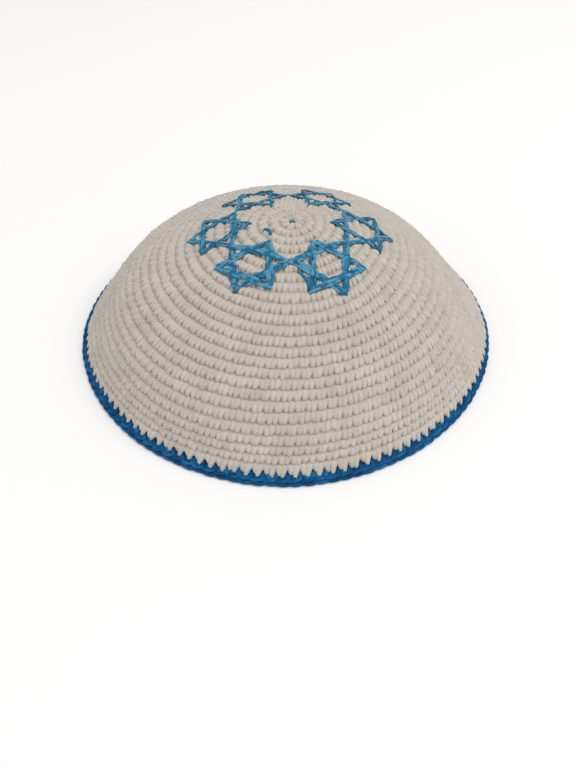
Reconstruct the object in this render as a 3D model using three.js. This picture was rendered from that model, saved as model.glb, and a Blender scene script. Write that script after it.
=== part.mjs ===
// A crocheted kippah skullcap: a white domed crown worked in rounds, a blue edging round
// at the rim, and a ring of six six-pointed stars stitched on the crown.
// Millimetres, +Z up, front toward -Y. The cap stands on its rim at z = 0,
// and the origin is under the middle of the rim.
import * as THREE from "three";
import { mergeVertices } from "three/addons/utils/BufferGeometryUtils.js";

// Whole cap
const rimRadius = 85;
const capHeight = 56.5;
const fabricWall = 3;
const pieceGap = 0.3;

// Crown
const roundCount = 25;
const grooveDepth = 0.6;

// Edging
const edgingWidth = 4;
const edgingBulge = 0.5;

// Stars. The sides of a star's two triangles meet at starLineRadius, and its tips end at starTipRadius.
const starLineRadius = 0.15 * rimRadius;
const starTipRadius = 0.156 * rimRadius;
const starSquash = 0.94;
const starLineWidth = 2.4;
const starThickness = 1;
const starSeat = 0.3;

// Smoothness of the faceted surfaces
const turnSteps = 48;
const liningSteps = 12;
const edgingSteps = 3;
const starEdgeSteps = 2;

// Outer profile from the top to the rim in equal steps along the cloth.
// radius is a share of rimRadius and height a share of capHeight.
const profileRows = [
  { radius: 0, height: 1 },
  { radius: 0.125, height: 0.982 },
  { radius: 0.248, height: 0.936 },
  { radius: 0.366, height: 0.871 },
  { radius: 0.482, height: 0.795 },
  { radius: 0.594, height: 0.708 },
  { radius: 0.699, height: 0.603 },
  { radius: 0.79, height: 0.472 },
  { radius: 0.867, height: 0.322 },
  { radius: 0.934, height: 0.162 },
  { radius: 1, height: 0 },
];

// Levels of the soft form, from the top to the rim. along is the share of the cloth from the top,
// and the middle of the cap leans there by these shares of rimRadius to the right and to the front.
const levelRows = [
  { along: 0, right: 0.033, front: 0.048 },
  { along: 0.4, right: 0.012, front: 0.04 },
  { along: 0.75, right: -0.002, front: 0.018 },
  { along: 1, right: 0, front: 0 },
];

// How far the cloth stands out (+) or sinks in (-) at each level after the first, as shares of the
// radius there. One row for every 30 degrees, starting at the front and turning to the right.
const bulgeRows = [
  { crown: 0.03, shoulder: -0.003, rim: 0 },
  { crown: 0.018, shoulder: 0.003, rim: -0.006 },
  { crown: -0.02, shoulder: 0.015, rim: -0.004 },
  { crown: -0.012, shoulder: -0.01, rim: 0.011 },
  { crown: 0, shoulder: -0.012, rim: 0.008 },
  { crown: 0, shoulder: 0.004, rim: 0 },
  { crown: 0.004, shoulder: 0.006, rim: 0 },
  { crown: 0.01, shoulder: 0.006, rim: 0 },
  { crown: 0.006, shoulder: 0, rim: 0.008 },
  { crown: -0.006, shoulder: -0.013, rim: 0.011 },
  { crown: -0.024, shoulder: -0.009, rim: -0.004 },
  { crown: -0.008, shoulder: 0.008, rim: -0.006 },
];

// One star for each row: its turn in degrees from the front to the right, and how far its middle lies
// from the top along the cloth, as a share of rimRadius. The ring is a little uneven, as hand work is.
const starRows = [
  { name: "star_front_right", turn: 32, ring: 0.311 },
  { name: "star_right", turn: 92, ring: 0.332 },
  { name: "star_back_right", turn: 150, ring: 0.311 },
  { name: "star_back_left", turn: 210, ring: 0.313 },
  { name: "star_left", turn: 269, ring: 0.325 },
  { name: "star_front_left", turn: 328, ring: 0.305 },
];

const whiteCotton = new THREE.MeshStandardMaterial({ color: "#cbc3b8", roughness: 0.92, metalness: 0 });
const blueCotton = new THREE.MeshStandardMaterial({ color: "#2478b4", roughness: 0.88, metalness: 0 });
const starCotton = new THREE.MeshStandardMaterial({ color: "#3c86b0", roughness: 0.88, metalness: 0 });

const profile = new THREE.SplineCurve(
  profileRows.map((row) => new THREE.Vector2(row.radius * rimRadius, row.height * capHeight)),
);
const clothLength = profile.getLength();
const bulges = new THREE.CatmullRomCurve3(
  bulgeRows.map((row) => new THREE.Vector3(row.crown, row.shoulder, row.rim)),
  true,
  "catmullrom",
);
const crownEnd = 1 - edgingWidth / clothLength;
const edgingStart = crownEnd + pieceGap / clothLength;

// Blends one value per level smoothly between the two levels around a place on the cloth
function blendLevels(along, values) {
  const next = Math.max(1, levelRows.findIndex((row) => row.along >= along));
  const from = levelRows[next - 1].along;
  const to = levelRows[next].along;
  const share = THREE.MathUtils.smoothstep(along, from, to);
  return THREE.MathUtils.lerp(values[next - 1], values[next], share);
}

// Point of the cloth at a share of its length from the top and a turn in radians from the front
// to the right, raised by lift along the outward normal of the profile
function clothPoint(along, turn, lift = 0) {
  const place = profile.getPointAt(along);
  const slope = profile.getTangentAt(along);
  const wholeTurns = turn / (2 * Math.PI);
  const bulge = bulges.getPoint(wholeTurns - Math.floor(wholeTurns));
  const swell = 1 + blendLevels(along, [0, bulge.x, bulge.y, bulge.z]);
  const leanRight = blendLevels(along, levelRows.map((row) => row.right)) * rimRadius;
  const leanFront = blendLevels(along, levelRows.map((row) => row.front)) * rimRadius;
  const radius = along === 0 ? 0 : place.x * swell - slope.y * lift;
  return new THREE.Vector3(
    radius * Math.sin(turn) + leanRight,
    -radius * Math.cos(turn) - leanFront,
    place.y + (along === 0 ? 1 : slope.x) * lift,
  );
}

// Point of the flat foot under the rim, a distance in from its outer edge
function footPoint(turn, inward) {
  const edge = clothPoint(1, turn);
  return new THREE.Vector3(edge.x - inward * Math.sin(turn), edge.y + inward * Math.cos(turn), 0);
}

// Closed body through rings of points. section is a list of functions of the turn. An open section
// runs from pole to pole, and a closed one comes back to its first ring.
function ringBody(section, closed) {
  const positions = [];
  const faces = [];
  const lastRow = section.length - 1;
  const isPole = (row) => !closed && (row === 0 || row === lastRow);
  const vertex = (row, step) => row * turnSteps + (isPole(row) ? 0 : step % turnSteps);
  section.forEach((pointAt) => {
    for (let step = 0; step < turnSteps; step += 1) {
      positions.push(...pointAt((step / turnSteps) * 2 * Math.PI).toArray());
    }
  });
  for (let row = 0; row < (closed ? section.length : lastRow); row += 1) {
    const below = (row + 1) % section.length;
    for (let step = 0; step < turnSteps; step += 1) {
      const start = vertex(row, step);
      const across = vertex(below, step + 1);
      if (!isPole(below)) faces.push(start, vertex(below, step), across);
      if (!isPole(row)) faces.push(start, across, vertex(row, step + 1));
    }
  }
  const geometry = new THREE.BufferGeometry();
  geometry.setAttribute("position", new THREE.Float32BufferAttribute(positions, 3));
  geometry.setIndex(faces);
  return geometry;
}

// Crown: ribbed outside, a valley between every two rounds, and smooth inside
function crownGeometry() {
  const section = [];
  for (let half = 0; half <= 2 * roundCount; half += 1) {
    const along = (crownEnd * half) / (2 * roundCount);
    const lift = half % 2 === 0 ? -grooveDepth : 0;
    section.push((turn) => clothPoint(along, turn, lift));
  }
  for (let step = liningSteps; step >= 0; step -= 1) {
    const along = (crownEnd * step) / liningSteps;
    section.push((turn) => clothPoint(along, turn, -fabricWall));
  }
  return ringBody(section, false);
}

// Edging: a rounded outer side, a flat foot and the same wall as the crown
function edgingGeometry() {
  const rimSlope = profile.getTangentAt(1);
  const footWidth = fabricWall / Math.abs(rimSlope.y);
  const section = [];
  for (let step = 0; step < edgingSteps; step += 1) {
    const share = step / edgingSteps;
    const along = THREE.MathUtils.lerp(edgingStart, 1, share);
    const lift = edgingBulge * Math.sin(Math.PI * share);
    section.push((turn) => clothPoint(along, turn, lift));
  }
  section.push((turn) => footPoint(turn, 0));
  section.push((turn) => footPoint(turn, footWidth));
  section.push((turn) => clothPoint(edgingStart, turn, -fabricWall));
  return ringBody(section, true);
}

// Strip between the sides from a to b and from d to c, cut across in equal steps
function strip(a, b, c, d, steps) {
  const triangles = [];
  for (let step = 0; step < steps; step += 1) {
    const outer = [a.clone().lerp(b, step / steps), a.clone().lerp(b, (step + 1) / steps)];
    const inner = [d.clone().lerp(c, step / steps), d.clone().lerp(c, (step + 1) / steps)];
    triangles.push([outer[0], outer[1], inner[1]], [outer[0], inner[1], inner[0]]);
  }
  return triangles;
}

// Flat star with its first tip along +x: two crossed triangles drawn with one width of line along
// their sides, cut blunt at the tips, open in the middle and in each of the six points
function flatStar() {
  const sixth = Math.PI / 3;
  const pointRadius = starLineRadius + starLineWidth;
  const cutRadius = Math.min(starTipRadius, pointRadius);
  const cutHalf = (pointRadius - cutRadius) / Math.sqrt(3);
  const notchRadius = pointRadius / Math.sqrt(3);
  const middleRadius = notchRadius - (2 * starLineWidth) / Math.sqrt(3);
  const eyeBase = pointRadius / 2;
  const eyeTip = Math.max(pointRadius - 2 * starLineWidth, eyeBase);
  const eyeHalf = (eyeTip - eyeBase) / Math.sqrt(3);
  const spot = (x, y, turns) => new THREE.Vector2(x, y).rotateAround(new THREE.Vector2(), turns * sixth);
  const triangles = [];
  for (let point = 0; point < 6; point += 1) {
    const tipLeft = spot(cutRadius, cutHalf, point);
    const tipRight = spot(cutRadius, -cutHalf, point);
    const notch = spot(notchRadius, 0, point + 0.5);
    const notchBefore = spot(notchRadius, 0, point - 0.5);
    const middle = spot(middleRadius, 0, point + 0.5);
    const middleBefore = spot(middleRadius, 0, point - 0.5);
    const eye = spot(eyeTip, 0, point);
    const eyeLeft = spot(eyeBase, eyeHalf, point);
    const eyeRight = spot(eyeBase, -eyeHalf, point);
    triangles.push(
      ...strip(tipLeft, notch, eyeLeft, eye, starEdgeSteps),
      ...strip(notchBefore, tipRight, eye, eyeRight, starEdgeSteps),
      ...strip(eyeRight, eyeLeft, middle, middleBefore, starEdgeSteps),
      [notch, middle, eyeLeft],
      [notchBefore, eyeRight, middleBefore],
      [tipRight, tipLeft, eye],
    );
  }
  return triangles;
}

// Plate over flat triangles: a face at each height, and a wall along every edge that only one
// triangle has. A triangle without area, where an eye of a star has closed, is left out.
function plateGeometry(triangles, thickness) {
  const edgeName = (from, to) => [from.x, from.y, to.x, to.y].map((value) => Math.round(value * 1000)).join();
  const hasArea = ([a, b, c]) => b.clone().sub(a).cross(c.clone().sub(a)) > 0;
  const faces = triangles.filter(hasArea);
  const edges = faces.flatMap(([a, b, c]) => [[a, b], [b, c], [c, a]]);
  const names = new Set(edges.map(([from, to]) => edgeName(from, to)));
  const low = (corner) => new THREE.Vector3(corner.x, corner.y, 0);
  const high = (corner) => new THREE.Vector3(corner.x, corner.y, thickness);
  const points = faces.flatMap(([a, b, c]) => [high(a), high(b), high(c), low(a), low(c), low(b)]);
  edges.filter(([from, to]) => !names.has(edgeName(to, from))).forEach(([from, to]) => {
    points.push(low(from), low(to), high(to), low(from), high(to), high(from));
  });
  return mergeVertices(new THREE.BufferGeometry().setFromPoints(points));
}

// Star: its flat form is squashed a little toward the top, moved out to its place and wrapped
// over the crown
function starGeometry(turn, ring) {
  const geometry = plateGeometry(flatStar(), starThickness);
  const positions = geometry.attributes.position;
  for (let index = 0; index < positions.count; index += 1) {
    const outward = ring * rimRadius + positions.getX(index) * starSquash;
    const sideways = positions.getY(index);
    const along = Math.hypot(outward, sideways) / clothLength;
    const around = turn + Math.atan2(sideways, outward);
    const point = clothPoint(along, around, starSeat + positions.getZ(index));
    positions.setXYZ(index, point.x, point.y, point.z);
  }
  return geometry;
}

function piece(name, geometry, material) {
  const mesh = new THREE.Mesh(geometry, material);
  mesh.name = name;
  return mesh;
}

const cap = new THREE.Group();
cap.add(piece("crown", crownGeometry(), whiteCotton));
cap.add(piece("edging", edgingGeometry(), blueCotton));
starRows.forEach((row) => {
  cap.add(piece(row.name, starGeometry(THREE.MathUtils.degToRad(row.turn), row.ring), starCotton));
});

export default cap;
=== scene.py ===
# Crocheted kippah skullcap: every stitch of the white crown and the blue edging is made of its own strands
# of yarn, and six stars are laid over the crown in straight stitches.
import math

import bpy
import numpy as np
from mathutils import Matrix, Vector


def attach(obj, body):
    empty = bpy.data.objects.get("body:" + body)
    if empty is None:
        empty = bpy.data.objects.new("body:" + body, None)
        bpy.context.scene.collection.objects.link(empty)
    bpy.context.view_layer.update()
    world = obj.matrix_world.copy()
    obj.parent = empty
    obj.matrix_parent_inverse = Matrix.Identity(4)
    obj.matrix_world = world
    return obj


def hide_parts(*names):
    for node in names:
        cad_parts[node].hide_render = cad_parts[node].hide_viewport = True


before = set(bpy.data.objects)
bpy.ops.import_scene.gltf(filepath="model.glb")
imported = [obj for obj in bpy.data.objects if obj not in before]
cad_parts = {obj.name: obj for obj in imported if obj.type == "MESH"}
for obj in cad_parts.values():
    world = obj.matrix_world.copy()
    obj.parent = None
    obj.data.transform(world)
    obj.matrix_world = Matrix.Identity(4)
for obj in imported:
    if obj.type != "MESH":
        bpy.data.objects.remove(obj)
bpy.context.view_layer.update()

rng = np.random.default_rng(26)
mm = 0.001

# Form of the cap, in millimetres and in shares of them. Profile, levels and bulges are those of the solids
cap = {
    "rimRadius": 85.0,
    "height": 56.5,
    "rounds": 25,
    "lowRounds": 3,        # at the front the last rounds before the edging are lower than the others
    "lowHeight": 0.84,
    "lowCosine": 0.7,      # fully so where the turn's cosine is over this, fading out toward the sides
    "rightSwell": 0.5,     # on the right the last white rounds stand out over the edging by this much
    "swellRounds": 4,
    "edgingWidth": 4.0,
    # outer profile in equal steps along the cloth: share of the rim radius, share of the height
    "profile": [(0, 1), (0.125, 0.982), (0.248, 0.936), (0.366, 0.871), (0.482, 0.795), (0.594, 0.708),
                (0.699, 0.603), (0.79, 0.472), (0.867, 0.322), (0.934, 0.162), (1, 0)],
    # levels from the top to the rim: share of the cloth, lean to the right, lean to the front
    "levels": [(0, 0.033, 0.048), (0.4, 0.012, 0.04), (0.75, -0.002, 0.018), (1, 0, 0)],
    # share by which the radius grows at the last three levels, every 30 degrees from the front to the right
    "bulges": [(0.03, -0.003, 0), (0.018, 0.003, -0.006), (-0.02, 0.015, -0.004), (-0.012, -0.01, 0.011),
               (0, -0.012, 0.008), (0, 0.004, 0), (0.004, 0.006, 0), (0.01, 0.006, 0),
               (0.006, 0, 0.008), (-0.006, -0.013, 0.011), (-0.024, -0.009, -0.004), (-0.008, 0.008, -0.006)],
}


def splineThrough(rows, share, closed=False):
    # Catmull-Rom curve through evenly spaced rows: each stretch is the cubic through its two rows
    # whose slopes are half the step between the neighbours on either side
    rows = np.asarray(rows, float)
    count = len(rows)
    place = np.asarray(share) * (count if closed else count - 1)
    start = np.floor(place).astype(int)
    if not closed:
        start = np.clip(start, 0, count - 2)
    t = (place - start)[..., None]
    pick = (lambda i: rows[i % count]) if closed else (lambda i: rows[np.clip(i, 0, count - 1)])
    before, a, b, after = (pick(start + step) for step in (-1, 0, 1, 2))
    slopeA = (b - before) / 2
    slopeB = (after - a) / 2
    cubic = 2 * (a - b) + slopeA + slopeB
    square = 3 * (b - a) - 2 * slopeA - slopeB
    return cubic * t**3 + square * t**2 + slopeA * t + a


# Outer profile as a fine table by length along the cloth: radius, height and their slopes
fineSteps = np.linspace(0, 1, 2001)
finePlaces = splineThrough(cap["profile"], fineSteps) * (cap["rimRadius"], cap["height"])
fineLength = np.concatenate([[0], np.cumsum(np.linalg.norm(np.diff(finePlaces, axis=0), axis=1))])
clothLength = fineLength[-1]
fineAlong = fineLength / clothLength
fineSlopes = np.gradient(finePlaces, fineLength, axis=0)
fineSlopes /= np.linalg.norm(fineSlopes, axis=1)[:, None]
roundShare = (1 - cap["edgingWidth"] / clothLength) / cap["rounds"]
levelAlong = np.array([row[0] for row in cap["levels"]])


def blendLevels(along, values):
    # smooth step between the two levels around a place: 3t² - 2t³ of the way from one value to the next
    level = np.clip(np.searchsorted(levelAlong, along) - 1, 0, len(levelAlong) - 2)
    t = np.clip((along - levelAlong[level]) / (levelAlong[level + 1] - levelAlong[level]), 0, 1)
    t = t * t * (3 - 2 * t)
    values = np.moveaxis(np.broadcast_to(values, (*along.shape, len(levelAlong))), -1, 0)
    low = np.take_along_axis(values, level[None], 0)[0]
    high = np.take_along_axis(values, level[None] + 1, 0)[0]
    return low + (high - low) * t


def clothPoint(along, turn, lift=0.0):
    # point of the cloth: the profile at a share of its length, swung round by a turn from the front to
    # the right, swollen and leaned by the tables, and moved along the outward normal by lift (mm)
    along, turn, lift = np.broadcast_arrays(np.asarray(along, float), turn, lift)
    inside = np.clip(along, 0, 1)
    radius, height, outX, outZ = (
        np.interp(inside, fineAlong, column) for column in (*finePlaces.T, *fineSlopes.T)
    )
    beyond = (along - inside) * clothLength
    bulge = splineThrough(cap["bulges"], (turn / (2 * np.pi)) % 1, closed=True)
    swell = 1 + blendLevels(inside, np.concatenate([np.zeros((*turn.shape, 1)), bulge], -1))
    right, front = (
        blendLevels(inside, np.array([row[column] for row in cap["levels"]])) * cap["rimRadius"]
        for column in (1, 2)
    )
    radius = radius * swell - outZ * lift + outX * beyond
    return np.stack([
        radius * np.sin(turn) + right,
        -radius * np.cos(turn) - front,
        height + outX * lift + outZ * beyond,
    ], -1)


def clothNormal(along, turn):
    # outward direction of the cloth: the step from the point on it to the point 1 mm above it
    return clothPoint(along, turn, 1.0) - clothPoint(along, turn, 0.0)


def unit(vectors):
    return vectors / np.maximum(np.linalg.norm(vectors, axis=-1, keepdims=True), 1e-9)


def profileTable(rows, t, samples=25):
    # value at each t of a smooth curve through rows of (t, value, value...): a Catmull-Rom curve over
    # evenly resampled rows
    rows = np.asarray(rows, float)
    even = np.linspace(0, 1, samples)
    columns = np.stack([np.interp(even, rows[:, 0], column) for column in rows[:, 1:].T], -1)
    return splineThrough(columns, t)


def strandSet(path, normal, width, thick, sides=6):
    # strands of yarn: round every point of every path (strands, points, 3) an oval ring whose wide axis
    # lies across the strand and whose thin axis lies along the cloth's outward direction
    ahead = unit(np.gradient(path, axis=1))
    across = unit(np.cross(ahead, normal))
    up = np.cross(across, ahead)
    angle = np.linspace(0, 2 * np.pi, sides, endpoint=False)
    wide = np.cos(angle)[:, None] * across[:, :, None] * (width / 2)[..., None, None]
    thin = np.sin(angle)[:, None] * up[:, :, None] * (thick / 2)[..., None, None]
    points = path[:, :, None] + wide + thin
    length = np.cumsum(np.linalg.norm(np.diff(path, axis=1, prepend=path[:, :1]), axis=2), axis=1)
    return {"points": points, "length": length}


# Each strand's own cell of the OFBake map, in shares of the cell
bakeCell = {
    "margin": 0.08,        # kept free on every side of the strand
    "endMargin": 0.04,     # its two end faces lie in that margin, this far in from the cell's side
    "endRadius": 0.03,
}


def makeYarnPiece(name, sets, material):
    # one mesh from sets of strands: quads between neighbouring rings and one polygon on each end.
    # yarnMap holds millimetres along the strand and the share round it, OFBake a cell for each strand in
    # a square of across by across cells, and the point attribute tone a random number for each strand
    inner = 1 - 2 * bakeCell["margin"]
    strandTotal = sum(len(part["points"]) for part in sets)
    across = math.ceil(math.sqrt(strandTotal))
    points, corners, sizes, yarnMap, bakeMap, tones = [], [], [], [], [], []
    firstPoint = firstStrand = 0
    for part in sets:
        count, rings, sides = part["points"].shape[:3]
        points.append(part["points"].reshape(-1, 3))
        ids = firstPoint + np.arange(count * rings * sides).reshape(count, rings, sides)
        near, far = np.arange(sides), (np.arange(sides) + 1) % sides
        quads = np.stack([ids[:, :-1, near], ids[:, 1:, near], ids[:, 1:, far], ids[:, :-1, far]], -1)
        ringShare = np.linspace(0, 1, rings)
        sideShare = np.arange(sides + 1) / sides
        cell = firstStrand + np.arange(count)
        cellPlace = np.stack([cell % across, cell // across], -1) / across
        ringPick = np.array([0, 1, 1, 0])
        sidePick = np.array([0, 0, 1, 1])
        ringAt = np.arange(rings - 1)[:, None, None] + ringPick
        sideAt = np.arange(sides)[None, :, None] + sidePick
        ringAt, sideAt = np.broadcast_arrays(ringAt, sideAt)
        along = part["length"][:, ringAt]
        yarnMap.append(np.stack([along, np.broadcast_to(sideShare[sideAt], along.shape)], -1).reshape(-1, 2))
        inCell = np.stack([ringShare[ringAt], sideShare[sideAt]], -1) * inner + bakeCell["margin"]
        bakeMap.append((cellPlace[:, None, None, None] + inCell / across).reshape(-1, 2))
        corners.append(quads.reshape(-1))
        sizes.append(np.full(count * (rings - 1) * sides, 4))
        for ring, order in ((0, near), (-1, near[::-1])):
            corners.append(ids[:, ring][:, order].reshape(-1))
            sizes.append(np.full(count, sides))
            endAlong = np.repeat(part["length"][:, ring], sides)
            yarnMap.append(np.stack([endAlong, np.tile(order / sides, count)], -1))
            acrossCell = bakeCell["endMargin"] + (1 - 2 * bakeCell["endMargin"]) * (ring % rings > 0)
            spot = cellPlace[:, None] + np.array([[acrossCell, 0.5]]) / across
            angle = order * 2 * np.pi / sides
            wedge = np.stack([np.cos(angle), np.sin(angle)], -1) * bakeCell["endRadius"]
            bakeMap.append((spot + wedge / across).reshape(-1, 2))
        tones.append(np.repeat(rng.random(count), rings * sides))
        firstPoint += count * rings * sides
        firstStrand += count
    points = np.concatenate(points)
    points[:, 2] = np.maximum(points[:, 2], 0)  # yarn is pressed flat where the cap stands on it
    piece = meshObject(name, points, np.concatenate(corners), np.concatenate(sizes), material)
    for mapName, values in (("yarnMap", yarnMap), ("OFBake", bakeMap)):
        layer = piece.data.uv_layers.new(name=mapName)
        layer.data.foreach_set("uv", np.concatenate(values).astype(np.float32).ravel())
    attribute = piece.data.attributes.new("tone", "FLOAT", "POINT")
    attribute.data.foreach_set("value", np.concatenate(tones).astype(np.float32))
    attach(piece, "root")
    return piece


def meshObject(name, points, corners, sizes, material):
    # smooth mesh from points in millimetres, the corner list of all its faces and each face's size
    mesh = bpy.data.meshes.new(name)
    mesh.vertices.add(len(points))
    mesh.vertices.foreach_set("co", (points * mm).astype(np.float32).ravel())
    mesh.loops.add(len(corners))
    mesh.loops.foreach_set("vertex_index", corners.astype(np.int32))
    mesh.polygons.add(len(sizes))
    mesh.polygons.foreach_set("loop_start", (np.cumsum(sizes) - sizes).astype(np.int32))
    mesh.polygons.foreach_set("use_smooth", np.ones(len(sizes), bool))
    mesh.update(calc_edges=True)
    mesh.materials.append(material)
    piece = bpy.data.objects.new(name, mesh)
    bpy.context.scene.collection.objects.link(piece)
    return piece


def makeRingPiece(name, rings, material):
    # a body round the cap through a closed loop of rings of points (rings, steps, 3)
    count, steps = rings.shape[:2]
    ids = np.arange(count * steps).reshape(count, steps)
    below = np.roll(ids, -1, 0)
    quads = np.stack([ids, below, np.roll(below, -1, 1), np.roll(ids, -1, 1)], -1)
    piece = meshObject(name, rings.reshape(-1, 3), quads.ravel(), np.full(count * steps, 4), material)
    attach(piece, "root")
    return piece


def linear(hexColour):
    # sRGB hex to linear light, one channel at a time
    channels = [int(hexColour[i:i + 2], 16) / 255 for i in (1, 3, 5)]
    return [c / 12.92 if c <= 0.04045 else ((c + 0.055) / 1.055) ** 2.4 for c in channels] + [1.0]


def addNode(tree, kind, settings=None, inputs=None):
    # adds a node, sets its properties, and sets or links its inputs by name or number
    node = tree.nodes.new(kind)
    for key, value in (settings or {}).items():
        setattr(node, key, value)
    for key, value in (inputs or {}).items():
        if isinstance(value, bpy.types.NodeSocket):
            tree.links.new(value, node.inputs[key])
        else:
            node.inputs[key].default_value = value
    return node


def spunCotton(name, look):
    # spun cotton yarn: matt staple fibres twisted in plies, so light scatters widely, the plies show as
    # slanted lines, stray fibres soften the edge and the dye takes a little unevenly
    material = bpy.data.materials.new(name)
    material.use_nodes = True
    tree = material.node_tree
    tree.nodes.clear()
    place = addNode(tree, "ShaderNodeTexCoord")
    yarn = addNode(tree, "ShaderNodeUVMap", {"uv_map": "yarnMap"})
    tone = addNode(tree, "ShaderNodeAttribute", {"attribute_name": "tone"})
    blotch = addNode(tree, "ShaderNodeTexNoise", {}, {
        "Vector": place.outputs["Object"], "Scale": 1 / (look["blotchSize"] * mm),
        "Detail": look["blotchDetail"],
    })
    fibre = addNode(tree, "ShaderNodeTexNoise", {}, {
        "Vector": place.outputs["Object"], "Scale": 1 / (look["fibreSize"] * mm),
        "Detail": look["fibreDetail"],
    })
    uneven = addNode(tree, "ShaderNodeMath", {"operation": "MULTIPLY_ADD"}, {
        0: tone.outputs["Fac"], 1: look["strandShare"], 2: blotch.outputs["Fac"],
    })
    dye = addNode(tree, "ShaderNodeValToRGB", {}, {"Fac": uneven.outputs[0]})
    ramp = dye.color_ramp
    ramp.elements[0].position, ramp.elements[0].color = look["rampFrom"], linear(look["dark"])
    ramp.elements[1].position, ramp.elements[1].color = look["rampTo"], linear(look["light"])
    middle = ramp.elements.new((look["rampFrom"] + look["rampTo"]) / 2)
    middle.color = linear(look["colour"])
    split = addNode(tree, "ShaderNodeSeparateXYZ", {}, {0: yarn.outputs["UV"]})
    plyPhase = addNode(tree, "ShaderNodeMath", {"operation": "MULTIPLY_ADD"}, {
        0: split.outputs["X"], 1: look["plies"] / look["twistPitch"], 2: 0.0,
    })
    roundPhase = addNode(tree, "ShaderNodeMath", {"operation": "MULTIPLY_ADD"}, {
        0: split.outputs["Y"], 1: float(look["plies"]), 2: plyPhase.outputs[0],
    })
    turnPhase = addNode(tree, "ShaderNodeMath", {"operation": "MULTIPLY"}, {
        0: roundPhase.outputs[0], 1: math.pi,
    })
    plyWave = addNode(tree, "ShaderNodeMath", {"operation": "SINE"}, {0: turnPhase.outputs[0]})
    ply = addNode(tree, "ShaderNodeMath", {"operation": "ABSOLUTE"}, {0: plyWave.outputs[0]})
    relief = addNode(tree, "ShaderNodeMath", {"operation": "MULTIPLY_ADD"}, {
        0: fibre.outputs["Fac"], 1: look["fibreShare"], 2: ply.outputs[0],
    })
    bump = addNode(tree, "ShaderNodeBump", {}, {
        "Height": relief.outputs[0], "Strength": look["bump"], "Distance": look["plyDepth"] * mm,
    })
    shader = addNode(tree, "ShaderNodeBsdfPrincipled", {}, {
        "Base Color": dye.outputs["Color"], "Roughness": look["roughness"], "IOR": look["ior"],
        "Specular IOR Level": look["specular"], "Sheen Weight": look["sheen"],
        "Sheen Roughness": look["sheenRoughness"], "Sheen Tint": linear(look["light"]),
        "Normal": bump.outputs["Normal"],
    })
    addNode(tree, "ShaderNodeOutputMaterial", {}, {"Surface": shader.outputs["BSDF"]})
    return material


# Sizes in millimetres. A cotton fibre is about 0.02 mm thick, so it is drawn coarser here, to show
whiteYarnLook = {
    "colour": "#c4bdb3",
    "dark": "#b9b2a7",
    "light": "#cdc6bc",
    "rampFrom": 0.25,      # blotches and strands added up: fully dark here
    "rampTo": 1.0,         # and fully light here
    "strandShare": 0.35,   # how much one strand differs from the next
    "blotchSize": 9.0,
    "blotchDetail": 3.0,
    "fibreSize": 0.25,
    "fibreDetail": 2.0,
    "fibreShare": 0.5,
    "plies": 3,
    "twistPitch": 4.5,     # length in which a ply goes once round the yarn
    "plyDepth": 0.22,
    "bump": 0.6,
    "roughness": 0.9,
    "specular": 0.25,
    "ior": 1.5,
    "sheen": 0.25,
    "sheenRoughness": 0.5,
}
rimYarnLook = dict(
    whiteYarnLook,
    colour="#03507f", dark="#003a66", light="#1c699f",
    strandShare=0.45, rampFrom=0.3, rampTo=1.1, blotchSize=3.0,
    sheen=0.06,
)
starYarnLook = dict(
    whiteYarnLook,
    colour="#2d7a9e", dark="#13577b", light="#5999b6",
    strandShare=0.7, rampFrom=0.4, rampTo=1.25, blotchSize=1.6,
    sheen=0.15, specular=0.3,
)
whiteCotton = spunCotton("whiteSpunCotton", whiteYarnLook)
rimCotton = spunCotton("blueSpunCotton", rimYarnLook)
starCotton = spunCotton("starSpunCotton", starYarnLook)
print("materials made")

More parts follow.
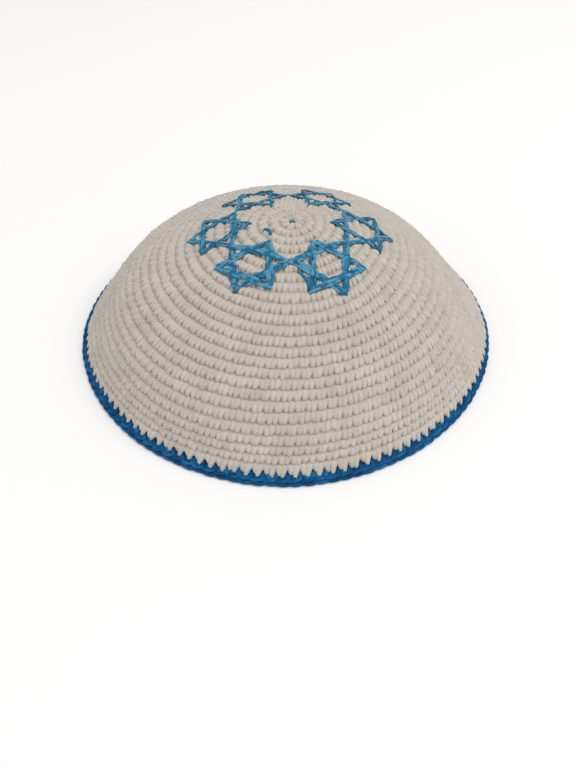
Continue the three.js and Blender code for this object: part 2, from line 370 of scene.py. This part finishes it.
# Single crochet, in millimetres or in shares of a stitch's width and a round's height
stitch = {
    "width": 3.8,          # as worked on the crown, wider near the rim, where no stitches are added
    "mostInRound": 118,
    "drift": -0.23,        # how far each round's stitches stand to the left of the last round's
    "yarn": 0.56,          # width of a leg as a share of the stitch's width
    "narrowest": 1.2,
    "widest": 2.5,
    "thick": 1.65,
    "from": 0.06,          # place in the round where a leg comes out under the round above
    "to": 1.18,            # and where it goes in again over the round below
    "firstPlace": 0.45,    # the hole at the top reaches this far into the first round
    "wobbleAcross": 0.05,  # every wobble is the standard deviation of a random draw
    "wobbleAlong": 0.04,
    "wobbleLift": 0.08,
    "wobbleWidth": 0.06,
    "wobbleLean": 0.06,
    "leanFrom": 0.3,       # share of the leg about which it leans
    # share of the leg, place across the stitch, lift of the middle of the yarn, share of its width: both
    # legs rise from under the round above and end in round feet, which leave dark gaps between them
    "leftLeg": [(0, 0.5, -2.7, 1.0), (0.15, 0.47, -2.0, 1.04), (0.34, 0.42, -1.05, 1.08),
                (0.54, 0.35, -0.76, 1.06), (0.75, 0.3, -0.84, 1.04), (0.89, 0.29, -1.25, 0.86),
                (1, 0.28, -2.2, 0.5)],
    "rightLeg": [(0, 0.96, -2.7, 1.0), (0.15, 0.94, -2.0, 1.04), (0.34, 0.92, -1.07, 1.08),
                 (0.54, 0.92, -0.78, 1.05), (0.74, 0.92, -0.86, 1.03), (0.89, 0.91, -1.3, 0.84),
                 (1, 0.9, -2.2, 0.5)],
    # the last round's left legs end in pointed teeth over the edging, shorter away from the front
    "shorterTeeth": 0.16,
    "lastLeftTo": 1.6,
    "lastLeftLeg": [(0, 0.5, -2.3, 1.0), (0.14, 0.47, -1.6, 1.08), (0.3, 0.42, -1.0, 1.08),
                    (0.46, 0.36, -0.8, 1.04), (0.6, 0.3, -0.75, 0.98), (0.75, 0.27, -0.75, 0.84),
                    (0.88, 0.25, -0.8, 0.55), (1, 0.24, -0.9, 0.2)],
    "lastRightTo": 1.37,
    "lastRightLeg": [(0, 0.96, -2.3, 1.0), (0.15, 0.95, -1.6, 1.08), (0.35, 0.94, -1.0, 1.1),
                     (0.55, 0.96, -0.9, 1.06), (0.72, 1.0, -1.0, 0.98), (0.86, 1.03, -1.3, 0.8),
                     (1, 1.06, -2.0, 0.5)],
}
legRings = np.array([0, 0.09, 0.26, 0.45, 0.64, 0.81, 0.93, 1])


def alongRound(place, turn):
    # share of the cloth's length at a place counted in rounds: even steps, then lower rounds near the rim
    # at the front, and what is left for the edging
    number = np.arange(cap["rounds"] + 1)
    lower = np.maximum(number - cap["rounds"] + cap["lowRounds"], 0) * (1 - cap["lowHeight"])
    places = np.arange(cap["rounds"] + 2)
    even = np.interp(place, places, np.append(number * roundShare, 1.0))
    lowered = np.interp(place, places, np.append((number - lower) * roundShare, 1.0))
    front = np.clip(np.cos(turn) / cap["lowCosine"], 0, 1)
    return even + (lowered - even) * front * front * (3 - 2 * front)


def whiteLift(place, turn):
    # how far the white rounds stand out near the rim: a smooth rise over the last rounds, most on the right
    rise = np.clip((place - cap["rounds"] + cap["swellRounds"]) / cap["swellRounds"], 0, 1)
    return cap["rightSwell"] * rise * rise * (3 - 2 * rise) * np.clip(np.sin(turn), 0, 1) ** 3


def stitchRounds():
    # where every stitch of every round lies: its start in rounds, its left edge and its width as turns
    starts, edges, widths, rounds = [], [], [], []
    phase = 0.0
    for number in range(cap["rounds"] + 1):
        reach = np.interp(alongRound(number + 1, np.pi), fineAlong, finePlaces[:, 0])
        count = int(min(round(2 * np.pi * reach / stitch["width"]), stitch["mostInRound"]))
        width = 2 * np.pi / count
        phase += stitch["drift"] * width
        edges.append(phase + width * (np.arange(count) + rng.normal(0, stitch["wobbleAcross"], count)))
        starts.append(number + rng.normal(0, stitch["wobbleAlong"], count))
        widths.append(np.full(count, width))
        rounds.append(np.full(count, number))
    return tuple(np.concatenate(column) for column in (starts, edges, widths, rounds))


def legSet(start, edge, width, table, end=stitch["to"], begin=stitch["from"]):
    # legs of stitches: a strand carried along the table's curve across the stitch, its width and lift
    # from the same curve, and every leg a little different
    count = len(start)
    acrossShare, lift, widthShare = profileTable(table, legRings).T
    lean = rng.normal(0, stitch["wobbleLean"], (count, 1)) * (legRings - stitch["leanFrom"])
    turn = edge[:, None] + width[:, None] * (acrossShare + lean)
    reach = end - begin + rng.normal(0, stitch["wobbleAlong"], (count, 1))
    place = start[:, None] + begin + reach * legRings
    along = alongRound(np.maximum(place, stitch["firstPlace"]), turn)
    lifts = lift + rng.normal(0, stitch["wobbleLift"], (count, 1)) * np.sin(np.pi * legRings)
    isWhite = start[:, None] < cap["rounds"] - 0.5  # the last white stitches start a round above the edging's
    lifts = lifts + whiteLift(place, turn) * isWhite
    path = clothPoint(along, turn, lifts)
    wobble = 1 + rng.normal(0, stitch["wobbleWidth"], (count, 1))
    stitchWidth = width[:, None] * np.interp(np.minimum(along, 1), fineAlong, finePlaces[:, 0])
    yarnWidth = np.clip(stitch["yarn"] * stitchWidth, stitch["narrowest"], stitch["widest"])
    thick = stitch["thick"] * widthShare * wobble
    return strandSet(path, clothNormal(along, turn), yarnWidth * widthShare * wobble, thick)


starts, edges, widths, rounds = stitchRounds()
print("stitches in all:", len(starts))
lastRound = cap["rounds"] - 1
# first and last round of each piece, so that each stays under 200,000 triangles
zones = {"crownRoundsTop": (0, 14), "crownRoundsMiddle": (15, 19), "crownRoundsLow": (20, 23)}
crownPieces = []
for zone, (first, last) in zones.items():
    here = (rounds >= first) & (rounds <= last)
    legs = [legSet(starts[here], edges[here], widths[here], stitch[leg]) for leg in ("leftLeg", "rightLeg")]
    if zone == "crownRoundsLow":
        here = rounds == lastRound
        shorter = stitch["shorterTeeth"] * (1 - np.clip(np.cos(edges[here]), 0, 1)[:, None] ** 4)
        for leg in ("lastLeft", "lastRight"):
            end = stitch[leg + "To"] - shorter
            legs.append(legSet(starts[here], edges[here], widths[here], stitch[leg + "Leg"], end))
    crownPieces.append(makeYarnPiece(zone, legs, whiteCotton))
    print(zone, sum(len(part["points"]) for part in legs), "legs")

# Wrong side: a slightly slanted bar across each stitch
lining = {
    "yarn": 1.5,
    "broad": 1.15,         # width of a bar as a share of its thickness
    # share of the bar, place across the stitch, lift, share of its width
    "bar": [(0, -0.12, -1.7, 0.7), (0.25, 0.15, -2.15, 0.95), (0.5, 0.5, -2.3, 1.0),
            (0.75, 0.85, -2.15, 0.95), (1, 1.12, -1.7, 0.7)],
    "barTilt": 0.22,
}


def barSet(start, edge, width, middle=0.5, rings=6):
    # bars on the inside: a strand across each stitch, low at both ends and bowed toward the head
    count = len(start)
    t = np.linspace(0, 1, rings)
    acrossShare, lift, widthShare = profileTable(lining["bar"], t).T
    place = start[:, None] + middle + lining["barTilt"] * np.sin(2 * np.pi * t)
    turn = edge[:, None] + width[:, None] * acrossShare
    along = alongRound(np.maximum(place, stitch["firstPlace"]), turn)
    lifts = lift + rng.normal(0, stitch["wobbleLift"], (count, 1)) * np.sin(np.pi * t)
    size = lining["yarn"] * widthShare * (1 + rng.normal(0, stitch["wobbleWidth"], (count, 1)))
    return strandSet(
        clothPoint(along, turn, lifts), -clothNormal(along, turn), size * lining["broad"], size, sides=5,
    )


inside = rounds < cap["rounds"]
crownPieces.append(makeYarnPiece(
    "crownLining", [barSet(starts[inside], edges[inside], widths[inside])], whiteCotton,
))

# Core: the middle of the cloth, where the strands cross, standing up along the middle of every round
core = {
    "inner": -2.2,
    "steps": 144,
    "rowsInRound": 8,
    # place in the round, lift of the core's outer side
    "outer": [(0, -1.52), (0.12, -1.4), (0.3, -0.72), (0.5, -0.42),
              (0.7, -0.48), (0.86, -0.8), (0.95, -1.25), (1, -1.52)],
}
turns = np.linspace(0, 2 * np.pi, core["steps"], endpoint=False)
outerRows = np.linspace(stitch["firstPlace"], cap["rounds"], cap["rounds"] * core["rowsInRound"] + 1)
outerLift = np.interp(outerRows % 1, *np.array(core["outer"]).T)[:, None]
outerLift = outerLift + whiteLift(outerRows[:, None], turns)
innerRows = np.linspace(cap["rounds"], stitch["firstPlace"], cap["rounds"])
coreRings = np.concatenate([
    clothPoint(alongRound(outerRows[:, None], turns), turns[None], outerLift),
    clothPoint(alongRound(innerRows[:, None], turns), turns[None], core["inner"]),
])
crownPieces.append(makeRingPiece("crownCore", coreRings, whiteCotton))
for piece in crownPieces:
    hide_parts("crown")
print("crown made")

# Edging: one round of stitches in blue and the chain of loops along its lower edge
edging = {
    "yarn": 1.5,
    "wobbleInset": 0.06,
    "wobbleYarn": 0.04,
    "normalUp": 0.6,       # how far the loops' thin side turns upward
    "legsFrom": 0.14,      # places in rounds, as a stitch's
    "legsTo": 0.74,
    "barPlace": 0.3,
    "leftLeg": [(0, 0.55, -1.8, 0.9), (0.2, 0.48, -1.25, 1.05), (0.45, 0.4, -0.95, 1.15),
                (0.7, 0.34, -1.05, 1.1), (1, 0.3, -1.7, 0.8)],
    "rightLeg": [(0, 0.84, -1.7, 0.8), (0.2, 0.86, -1.15, 1.0), (0.45, 0.88, -0.8, 1.1),
                 (0.7, 0.9, -0.95, 1.05), (1, 0.92, -1.7, 0.8)],
    # share of the loop, place along the rim in stitches, inset from the rim, height above the floor, width
    "upperLoop": [(0, -0.25, 2.3, 1.6, 0.6), (0.2, 0, 1.7, 1.8, 0.9), (0.5, 0.4, 1.3, 2.1, 1.0),
                  (0.8, 0.8, 1.6, 2.45, 0.85), (1, 1.05, 2.4, 2.6, 0.6)],
    "lowerLoop": [(0, -0.3, 2.0, 1.3, 0.6), (0.2, 0, 1.2, 0.95, 1.0), (0.5, 0.45, 0.85, 0.75, 1.1),
                  (0.8, 0.9, 0.95, 0.8, 1.0), (1, 1.2, 1.7, 1.0, 0.6)],
    "innerLoop": [(0, -0.35, 2.3, 2.5, 0.6), (0.2, -0.1, 2.5, 2.1, 0.85), (0.5, 0.35, 2.8, 1.4, 1.0),
                  (0.8, 0.9, 2.8, 1.05, 0.95), (1, 1.25, 2.3, 1.1, 0.6)],
    # the ring under the stitches: lift of its outer and inner top, then inset and height of its foot
    "coreTop": (-1.75, -2.2),
    "coreFoot": [(2.0, 1.4), (2.0, 0.6), (2.6, 0.6)],
}


def rimPoint(turn, inset, height):
    # point by the rim: inset moves it toward the middle and height lifts it off the floor
    base = clothPoint(np.ones(turn.shape), turn)
    towardMiddle = np.stack([-np.sin(turn), np.cos(turn), np.zeros(turn.shape)], -1)
    return base + towardMiddle * inset[..., None] + np.array([0, 0, 1]) * height[..., None]


def loopSet(edge, width, table, rings=10):
    # loops along the rim: a strand carried along the table's curve, one for each stitch
    t = np.linspace(0, 1, rings)
    alongRim, inset, height, widthShare = profileTable(table, t).T
    turn = edge[:, None] + width[:, None] * alongRim
    wobble = rng.normal(0, edging["wobbleInset"], (len(edge), 1))
    path = rimPoint(turn, inset + wobble, np.broadcast_to(height, turn.shape))
    normal = np.stack([np.sin(turn), -np.cos(turn), np.full(turn.shape, edging["normalUp"])], -1)
    size = edging["yarn"] * widthShare * (1 + rng.normal(0, edging["wobbleYarn"], (len(edge), 1)))
    return strandSet(path, normal, size, size)


rim = rounds == cap["rounds"]
edgingSets = [
    legSet(starts[rim], edges[rim], widths[rim], edging[leg], edging["legsTo"], edging["legsFrom"])
    for leg in ("leftLeg", "rightLeg")
]
edgingSets += [
    loopSet(edges[rim], widths[rim], edging[loop]) for loop in ("upperLoop", "lowerLoop", "innerLoop")
]
edgingSets.append(barSet(starts[rim], edges[rim], widths[rim], edging["barPlace"]))
edgingStitches = makeYarnPiece("edgingStitches", edgingSets, rimCotton)
edgingTop = [clothPoint(alongRound(cap["rounds"], turns), turns, lift) for lift in edging["coreTop"]]
edgingFoot = [
    rimPoint(turns, np.full(turns.shape, inset), np.full(turns.shape, height))
    for inset, height in edging["coreFoot"]
]
edgingRings = np.stack([edgingTop[0], *edgingFoot, edgingTop[1]])
edgingCore = makeRingPiece("edgingCore", edgingRings, rimCotton)
for piece in (edgingStitches, edgingCore):
    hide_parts("edging")
print("edging made")

# Stars, in millimetres or in shares of a stitch or a side: straight stitches laid over the crown
star = {
    "lineRadius": 0.15,    # of the rim radius, where the sides of the two triangles meet
    "squash": 0.94,
    "yarn": 0.92,
    "flat": 0.54,          # thickness of the yarn as a share of its width
    "lift": 0.05,
    "sideStep": 0.15,      # every other side of a star lies this much higher
    "middleStep": 0.08,    # and so does the middle lane of each
    "endDepth": 0.7,       # how far a stitch's ends sink into the cloth
    "endThin": 0.3,        # and how much thinner they are
    "wobbleYarn": 0.1,
    "stitchesInSide": 7,
    "stagger": 0.4,        # of a stitch between the middle lane and the outer ones
    "overlap": 0.022,
    "tipReach": 0.045,     # of a side, past the tip in the middle lane
    "tipShort": 0.03,      # short of the tip in the outer lanes
    "tipPinch": 0.4,       # how close the lanes lie at a tip
    "wobbleLift": 0.08,
    # turn in degrees from the front to the right, distance of the middle from the top along the cloth as a
    # share of the rim radius, and how broad its lines lie
    "places": {"star_front_right": (32, 0.311, 1.27), "star_right": (92, 0.332, 0.95),
               "star_back_right": (150, 0.311, 0.7), "star_back_left": (210, 0.313, 0.7),
               "star_left": (269, 0.325, 0.95), "star_front_left": (328, 0.305, 1.27)},
    # hand-sewn tips that lie off the even star, in millimetres outward and across, from the outermost tip on
    "tipMoves": {
        "star_front_right": [(0.8, -0.1), (0.7, 2.4), (-1.2, 2.0), (-0.2, 0.1), (-2.0, 0.2), (0, 0)],
        "star_right": [(1.8, 0.3), (1.4, 1.2), (0, 0.4), (-0.5, 0), (-0.9, -0.2), (2.1, 1.3)],
        "star_front_left": [(-0.3, -0.2), (-1.3, 0.2), (-1.5, 0), (0.5, -0.7), (1.0, -1.9), (0.1, -1.5)],
    },
    # loose ends that show on the crown: three places of each, right of the top and behind it, and its lift
    "looseEnds": [([(-0.3, 2.2), (0, 0.6), (-0.3, -1.2)], -1.5),
                  ([(-10.6, -5), (-8.4, -5.8), (-7.6, -9)], 0.1),
                  ([(2.9, -25.2), (4.8, -27.4), (7, -29.9)], -0.1)],
    "laneGap": 0.64,
    "endYarn": 1.3,
    "looseDepth": 0.9,
    "looseThin": 0.4,
    "joinFrom": 0.96,      # share of the way from the star's middle to its tip
    "joinGap": 0.32,       # on either side of the line between the tips
    "joinLift": 0.25,
    "joinDepth": 0.9,
    "wobbleEnd": 0.22,
    "bow": 0.15,
}


def starPoint(turn, ring, places, lift):
    # point over the crown: the star's flat place squashed, moved out to its ring and wrapped round the top
    outward = ring * cap["rimRadius"] + places[..., 0] * star["squash"]
    along = np.hypot(outward, places[..., 1]) / clothLength
    around = turn + np.arctan2(places[..., 1], outward)
    return clothPoint(along, around, lift), clothNormal(along, around)


def starTips(node):
    # the six tips of a star as flat places outward and across: an even star, each tip moved by its row
    angle = np.arange(6) * np.pi / 3
    even = star["lineRadius"] * cap["rimRadius"] * np.stack([np.cos(angle), np.sin(angle)], -1)
    return even + np.array(star["tipMoves"].get(node, [(0, 0)] * 6))


def starSets(turn, ring, breadth, tips, rings=9):
    # straight stitches of one star: each side of the two triangles in stitches of three strands side by
    # side, dipping into the cloth at both ends; the middle strand of the last one reaches out to the tip
    parts = star["stitchesInSide"]
    fromEnd, toEnd, levels = [], [], []
    for side in range(6):
        a, b = tips[side], tips[(side + 2) % 6]
        sideWays = unit(np.array([a[1] - b[1], b[0] - a[0]]))
        for part in range(parts):
            for lane in (-1, 0, 1):
                outer = star["tipReach"] if lane == 0 else -star["tipShort"]
                shift = sideWays * lane * star["laneGap"] * breadth
                moved = star["stagger"] / parts * (lane != 0)
                pinchA = pinchB = 1.0
                shareA = part / parts + moved - star["overlap"]
                shareB = (part + 1) / parts + moved + star["overlap"]
                if part == 0:
                    pinchA, shareA = star["tipPinch"], -outer
                if part == parts - 1:
                    pinchB, shareB = star["tipPinch"], 1 + outer
                fromEnd.append(a + (b - a) * shareA + shift * pinchA)
                toEnd.append(a + (b - a) * shareB + shift * pinchB)
                levels.append(star["lift"] + star["sideStep"] * (side % 2) + star["middleStep"] * (lane == 0))
    fromEnd, toEnd, levels = (np.array(rows) for rows in (fromEnd, toEnd, levels))
    levels = levels + rng.normal(0, star["wobbleLift"], levels.shape)
    fromEnd = fromEnd + rng.normal(0, star["wobbleEnd"], fromEnd.shape)
    toEnd = toEnd + rng.normal(0, star["wobbleEnd"], toEnd.shape)
    t = np.linspace(0, 1, rings)
    bowed = np.sin(np.pi * t)[None, :, None]
    sideWays = unit(np.stack([fromEnd[:, 1] - toEnd[:, 1], toEnd[:, 0] - fromEnd[:, 0]], -1))
    places = fromEnd[:, None] + (toEnd - fromEnd)[:, None] * t[None, :, None]
    places = places + sideWays[:, None] * bowed * rng.normal(0, star["bow"], (len(fromEnd), 1, 1))
    dip = np.abs(2 * t - 1) ** 6
    lifts = levels[:, None] * (1 - dip) - star["endDepth"] * dip
    path, normal = starPoint(turn, ring, places, lifts)
    wobble = 1 + rng.normal(0, star["wobbleYarn"], (len(fromEnd), 1))
    size = star["yarn"] * breadth * (1 - star["endThin"] * dip) * wobble
    return strandSet(path, normal, size, size * star["flat"])


def looseEndSet(places, lift, rings=9):
    # short end of star yarn: a parabola through its three places, dipping into the cloth at both ends
    first, middle, last = (np.array(place) for place in places)
    t = np.linspace(-1, 1, rings)[:, None]
    flat = middle + (last - first) / 2 * t + ((last + first) / 2 - middle) * t**2
    along = np.hypot(*flat.T)[None] / clothLength
    around = np.arctan2(flat[:, 0], -flat[:, 1])[None]
    dip = t.T**4
    path = clothPoint(along, around, lift - star["looseDepth"] * dip)
    size = star["endYarn"] * (1 - star["looseThin"] * dip)
    return strandSet(path, clothNormal(along, around), size, size)


def joinSet(turn, ring, breadth, tips, nextTurn, nextRing, nextBreadth, nextTips, rings=7):
    # two straight strands that run on from one star's tip to the next star's tip, their breadth the product
    # of both stars' breadths, dipping into the cloth at both ends
    ends = []
    for around, away, tip in ((turn, ring, tips[2]), (nextTurn, nextRing, nextTips[4])):
        outward = away * cap["rimRadius"] + tip[0] * star["joinFrom"] * star["squash"]
        sideways = tip[1] * star["joinFrom"]
        angle = around + np.arctan2(sideways, outward)
        ends.append(np.hypot(outward, sideways) * np.array([np.sin(angle), -np.cos(angle)]))
    t = np.linspace(0, 1, rings)[None, :, None]
    sideWays = unit(np.array([ends[1][1] - ends[0][1], ends[0][0] - ends[1][0]]))
    broad = breadth * nextBreadth
    shift = np.array([-1, 1])[:, None, None] * star["joinGap"] * sideWays * broad
    flat = ends[0] + (ends[1] - ends[0]) * t + shift
    along = np.hypot(flat[..., 0], flat[..., 1]) / clothLength
    around = np.arctan2(flat[..., 0], -flat[..., 1])
    dip = np.abs(2 * t[..., 0] - 1) ** 4
    path = clothPoint(along, around, star["joinLift"] - star["joinDepth"] * dip)
    size = star["yarn"] * broad * (1 - star["endThin"] * dip) * np.ones(along.shape)
    return strandSet(path, clothNormal(along, around), size, size * star["flat"])


starPlaces = [(math.radians(degrees), ring, breadth, starTips(node))
              for node, (degrees, ring, breadth) in star["places"].items()]
for number, node in enumerate(star["places"]):
    words = node.split("_")
    pieceName = words[0] + "".join(word.capitalize() for word in words[1:]) + "Stitches"
    following = starPlaces[(number + 1) % len(starPlaces)]
    sets = [starSets(*starPlaces[number]), joinSet(*starPlaces[number], *following)]
    if node == "star_front_left":
        sets += [looseEndSet(*end) for end in star["looseEnds"]]
    piece = makeYarnPiece(pieceName, sets, starCotton)
    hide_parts(node)
print("stars made")

# Floor, light and camera
studio = {
    "floorColour": "#fcfcfc",
    "floorRoughness": 0.9,
    "floorSpecular": 0.1,
    "floorSize": 6.0,      # metres, as the places of the lights
    "worldColour": "#ffffff",
    "worldStrength": 0.59,
    "keyPower": 17.5,
    "keySize": 1.4,
    "keyPlace": (0.8, -0.25, 1.6),
    "keyColour": "#fffdf8",
    "fillPower": 3.5,
    "fillPlace": (-1.2, -0.6, 0.9),
    "fillColour": "#f6f4ff",
    "aim": (0, 0, 0.02),
}
view = {
    "elevation": 41.51,       # degrees above the floor
    "distance": 318.9,        # millimetres from the middle of the rim
    "middle": (-0.9, -1.1),   # the point that it turns about, in millimetres
    "lens": 743.9 * 36 / 768, # millimetres on a 36 mm picture
    "down": 4.27,             # the camera looks this many degrees under that point
    "right": 0.27,
    "roll": -0.83,
}


def makeFloor():
    # matt white paper: its uncoated fibres scatter light evenly, with next to no gloss
    floorMesh = bpy.data.meshes.new("floor")
    half = studio["floorSize"] / 2
    corners = [(-half, -half, 0), (half, -half, 0), (half, half, 0), (-half, half, 0)]
    floorMesh.from_pydata(corners, [], [(0, 1, 2, 3)])
    floor = bpy.data.objects.new("floor", floorMesh)
    bpy.context.scene.collection.objects.link(floor)
    paper = bpy.data.materials.new("mattPaper")
    paper.use_nodes = True
    shader = paper.node_tree.nodes["Principled BSDF"]
    shader.inputs["Base Color"].default_value = linear(studio["floorColour"])
    shader.inputs["Roughness"].default_value = studio["floorRoughness"]
    shader.inputs["Specular IOR Level"].default_value = studio["floorSpecular"]
    floorMesh.materials.append(paper)


def makeLight(name, power, size, place, colour):
    # square soft light that looks at the cap
    light = bpy.data.lights.new(name, "AREA")
    light.energy = power
    light.color = linear(colour)[:3]
    light.size = size
    lamp = bpy.data.objects.new(name, light)
    lamp.location = place
    lamp.rotation_euler = (Vector(studio["aim"]) - Vector(place)).to_track_quat("-Z", "Y").to_euler()
    bpy.context.scene.collection.objects.link(lamp)


def makeWorld():
    # even light from all round, as between large diffusers
    world = bpy.data.worlds.new("studio")
    world.use_nodes = True
    sky = world.node_tree.nodes["Background"]
    sky.inputs["Color"].default_value = linear(studio["worldColour"])
    sky.inputs["Strength"].default_value = studio["worldStrength"]
    bpy.context.scene.world = world


def makeCamera():
    # looks along +Y and down by the elevation, then turned down, right and rolled by the named angles
    tilt = math.radians(view["elevation"])
    turned = Matrix.Rotation(-math.radians(view["right"]), 3, "Y")
    turned = turned @ Matrix.Rotation(math.radians(view["roll"]), 3, "Z")
    looks = Matrix.Rotation(math.pi / 2 - tilt - math.radians(view["down"]), 3, "X") @ turned
    away = Vector((0, -math.cos(tilt), math.sin(tilt))) * view["distance"]
    camera = bpy.data.cameras.new("camera")
    camera.lens = view["lens"]
    camera.clip_start = 0.01
    seen = bpy.data.objects.new("camera", camera)
    seen.matrix_world = Matrix.Translation((away + Vector((*view["middle"], 0))) * mm) @ looks.to_4x4()
    bpy.context.scene.collection.objects.link(seen)
    bpy.context.scene.camera = seen


makeFloor()
makeLight("keyLight", studio["keyPower"], studio["keySize"], studio["keyPlace"], studio["keyColour"])
makeLight("fillLight", studio["fillPower"], studio["keySize"], studio["fillPlace"], studio["fillColour"])
makeWorld()
makeCamera()
bpy.context.scene.view_settings.view_transform = "Standard"
print("studio made")
